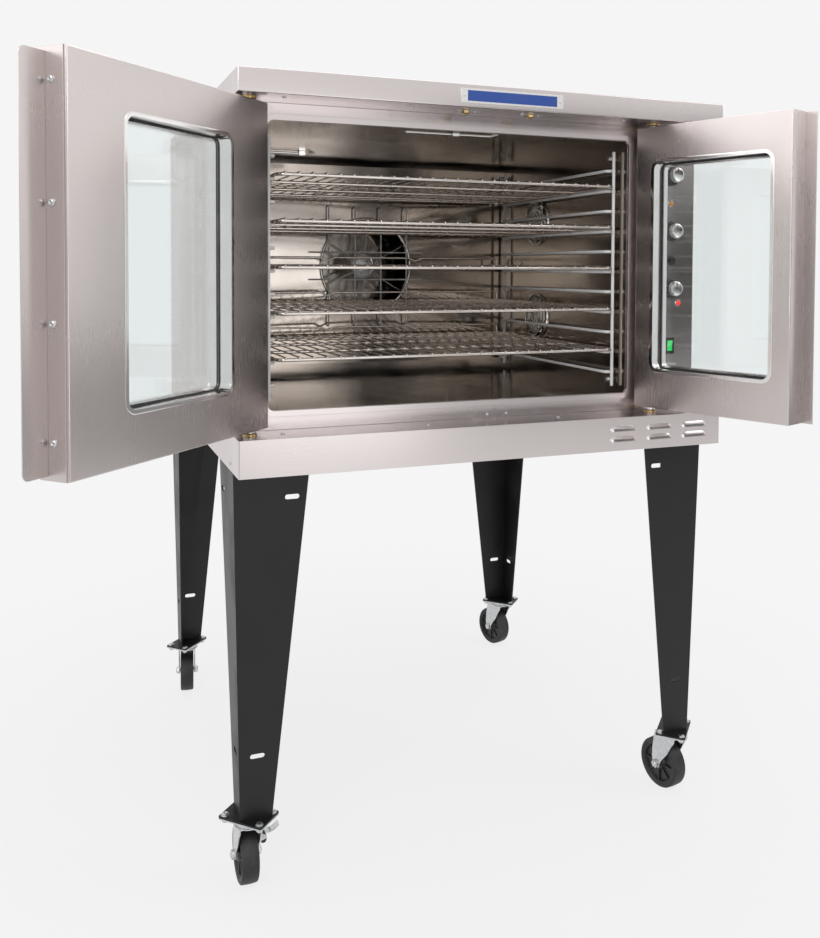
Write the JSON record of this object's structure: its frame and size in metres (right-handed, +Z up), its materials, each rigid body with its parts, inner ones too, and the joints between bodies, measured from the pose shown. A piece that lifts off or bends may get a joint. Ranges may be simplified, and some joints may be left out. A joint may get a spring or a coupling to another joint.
{
  "type": "convection oven",
  "caption": "Full-size convection oven with two glazed swing doors, sliding wire racks, rear fan, side controls and a tall four-legged stand on swivel casters.",
  "frame": {"origin": "on the floor, under the centre of the oven body", "axes": "+X to the operator's right, +Y from the doors to the back, +Z up"},
  "size_m": [1.3149, 1.2676, 1.4315],
  "materials": {
    "stainless": "brushed",
    "liner_steel": "satin",
    "bright_wire": "polished",
    "black_paint": "satin",
    "black_plastic": "matte",
    "silver_knob": "satin",
    "window_glass": "clear",
    "brass": "satin",
    "zinc": "zinc plated",
    "black_rubber": "matte",
    "insulation": "fibrous",
    "motor_grey": "satin",
    "element_sheath": "oxidised",
    "lamp_glass": "ribbed"
  },
  "bodies": {
    "oven": {"top_cowl": "stainless", "bottom_cowl": "stainless", "left_side_panel": "stainless", "right_side_panel": "stainless", "top_panel": "stainless", "back_panel": "stainless", "base_pan": "stainless", "front_frame": "stainless", "control_panel": "stainless", "cavity_liner": "liner_steel", "insulation": "insulation", "baffle_panel": "liner_steel", "fan_guard": "bright_wire", "blower_motor": "motor_grey", "heating_element": "element_sheath", "rack_guides": "bright_wire", "oven_lamps": "lamp_glass", "door_hardware": "brass", "nameplate": "stainless", "electrical_parts": "black_plastic", "fasteners": "zinc", "caster_plates": "zinc", "front_left_leg": "black_paint", "front_right_leg": "black_paint", "back_left_leg": "black_paint", "back_right_leg": "black_paint"},
    "left_door": {"left_door_pan": "stainless", "left_door_skin": "stainless", "left_door_window_trim": "bright_wire", "left_door_glass": "window_glass", "left_door_handle": "black_plastic", "left_door_hinge_pins": "bright_wire", "left_door_astragal": "stainless"},
    "right_door": {"right_door_pan": "stainless", "right_door_skin": "stainless", "right_door_window_trim": "bright_wire", "right_door_glass": "window_glass", "right_door_handle": "black_plastic", "right_door_hinge_pins": "bright_wire"},
    "rack_1": {"rack_1": "bright_wire"},
    "rack_2": {"rack_2": "bright_wire"},
    "rack_3": {"rack_3": "bright_wire"},
    "rack_4": {"rack_4": "bright_wire"},
    "rack_5": {"rack_5": "bright_wire"},
    "fan_wheel": {"fan_wheel": "liner_steel"},
    "thermostat_knob": {"thermostat_knob": "silver_knob"},
    "timer_knob": {"timer_knob": "silver_knob"},
    "fan_knob": {"fan_knob": "silver_knob"},
    "power_rocker": {"power_rocker": "black_plastic"},
    "light_button": {"light_button": "black_plastic"},
    "front_left_fork": {"front_left_fork": "zinc"},
    "front_left_wheel": {"front_left_wheel": "black_rubber"},
    "front_right_fork": {"front_right_fork": "zinc"},
    "front_right_wheel": {"front_right_wheel": "black_rubber"},
    "back_left_fork": {"back_left_fork": "zinc"},
    "back_left_wheel": {"back_left_wheel": "black_rubber"},
    "back_right_fork": {"back_right_fork": "zinc"},
    "back_right_wheel": {"back_right_wheel": "black_rubber"},
    "front_left_brake_lever": {"front_left_brake_lever": "zinc"},
    "front_right_brake_lever": {"front_right_brake_lever": "zinc"}
  },
  "joints": [
    {"name": "left_door_hinge", "type": "hinge", "parent": "oven", "child": "left_door", "pos_m": [-0.455, -0.4235, 1.093], "axis": [0, 0, -1], "range_deg": [-135.3, 39.7]},
    {"name": "right_door_hinge", "type": "hinge", "parent": "oven", "child": "right_door", "pos_m": [0.356, -0.4235, 1.093], "axis": [0, 0, 1], "range_deg": [-110.6, 29.4]},
    {"name": "rack_1_slide", "type": "slide", "parent": "oven", "child": "rack_1", "axis": [0, -1, 0], "range_m": [0, 0.4]},
    {"name": "rack_2_slide", "type": "slide", "parent": "oven", "child": "rack_2", "axis": [0, -1, 0], "range_m": [0, 0.4]},
    {"name": "rack_3_slide", "type": "slide", "parent": "oven", "child": "rack_3", "axis": [0, -1, 0], "range_m": [0, 0.4]},
    {"name": "rack_4_slide", "type": "slide", "parent": "oven", "child": "rack_4", "axis": [0, -1, 0], "range_m": [0, 0.4]},
    {"name": "rack_5_slide", "type": "slide", "parent": "oven", "child": "rack_5", "axis": [0, -1, 0], "range_m": [0, 0.4]},
    {"name": "fan_spin", "type": "hinge", "parent": "oven", "child": "fan_wheel", "pos_m": [-0.051, 0.1895, 1.108], "axis": [0, 1, 0], "continuous": true},
    {"name": "thermostat_knob_turn", "type": "hinge", "parent": "oven", "child": "thermostat_knob", "pos_m": [0.428, -0.3905, 1.295], "axis": [0, 1, 0], "range_deg": [0, 300]},
    {"name": "timer_knob_turn", "type": "hinge", "parent": "oven", "child": "timer_knob", "pos_m": [0.428, -0.3905, 1.181], "axis": [0, 1, 0], "range_deg": [0, 330]},
    {"name": "fan_knob_turn", "type": "hinge", "parent": "oven", "child": "fan_knob", "pos_m": [0.428, -0.3905, 1.063], "axis": [0, 1, 0], "range_deg": [0, 90]},
    {"name": "power_rocker_tilt", "type": "hinge", "parent": "oven", "child": "power_rocker", "pos_m": [0.428, -0.3845, 0.945], "axis": [1, 0, 0], "range_deg": [0, 10]},
    {"name": "light_button_press", "type": "slide", "parent": "oven", "child": "light_button", "axis": [0, 1, 0], "range_m": [0, 0.003], "stiffness_N_per_m": 600, "springref_m": -0.001},
    {"name": "front_left_swivel", "type": "hinge", "parent": "oven", "child": "front_left_fork", "pos_m": [-0.4507, -0.387, 0.1307], "axis": [0, 0, 1], "continuous": true},
    {"name": "front_left_roll", "type": "hinge", "parent": "front_left_fork", "child": "front_left_wheel", "pos_m": [-0.4507, -0.359, 0.0508], "axis": [1, 0, 0], "continuous": true},
    {"name": "front_right_swivel", "type": "hinge", "parent": "oven", "child": "front_right_fork", "pos_m": [0.4507, -0.387, 0.1307], "axis": [0, 0, 1], "continuous": true},
    {"name": "front_right_roll", "type": "hinge", "parent": "front_right_fork", "child": "front_right_wheel", "pos_m": [0.44584, -0.35942, 0.0508], "axis": [0.9848, 0.1736, 0], "continuous": true},
    {"name": "back_left_swivel", "type": "hinge", "parent": "oven", "child": "back_left_fork", "pos_m": [-0.4507, 0.4312, 0.1307], "axis": [0, 0, 1], "continuous": true},
    {"name": "back_left_roll", "type": "hinge", "parent": "back_left_fork", "child": "back_left_wheel", "pos_m": [-0.4468, 0.45893, 0.0508], "axis": [0.9903, -0.1392, 0], "continuous": true},
    {"name": "back_right_swivel", "type": "hinge", "parent": "oven", "child": "back_right_fork", "pos_m": [0.4507, 0.4312, 0.1307], "axis": [0, 0, 1], "continuous": true},
    {"name": "back_right_roll", "type": "hinge", "parent": "back_right_fork", "child": "back_right_wheel", "pos_m": [0.44345, 0.45825, 0.0508], "axis": [0.9659, 0.2588, 0], "continuous": true},
    {"name": "front_left_brake", "type": "hinge", "parent": "front_left_fork", "child": "front_left_brake_lever", "pos_m": [-0.4207, -0.359, 0.0808], "axis": [0, 1, 0], "range_deg": [0, 18]},
    {"name": "front_right_brake", "type": "hinge", "parent": "front_right_fork", "child": "front_right_brake_lever", "pos_m": [0.47538, -0.35422, 0.0808], "axis": [-0.1736, 0.9848, 0], "range_deg": [0, 18]}
  ]
}
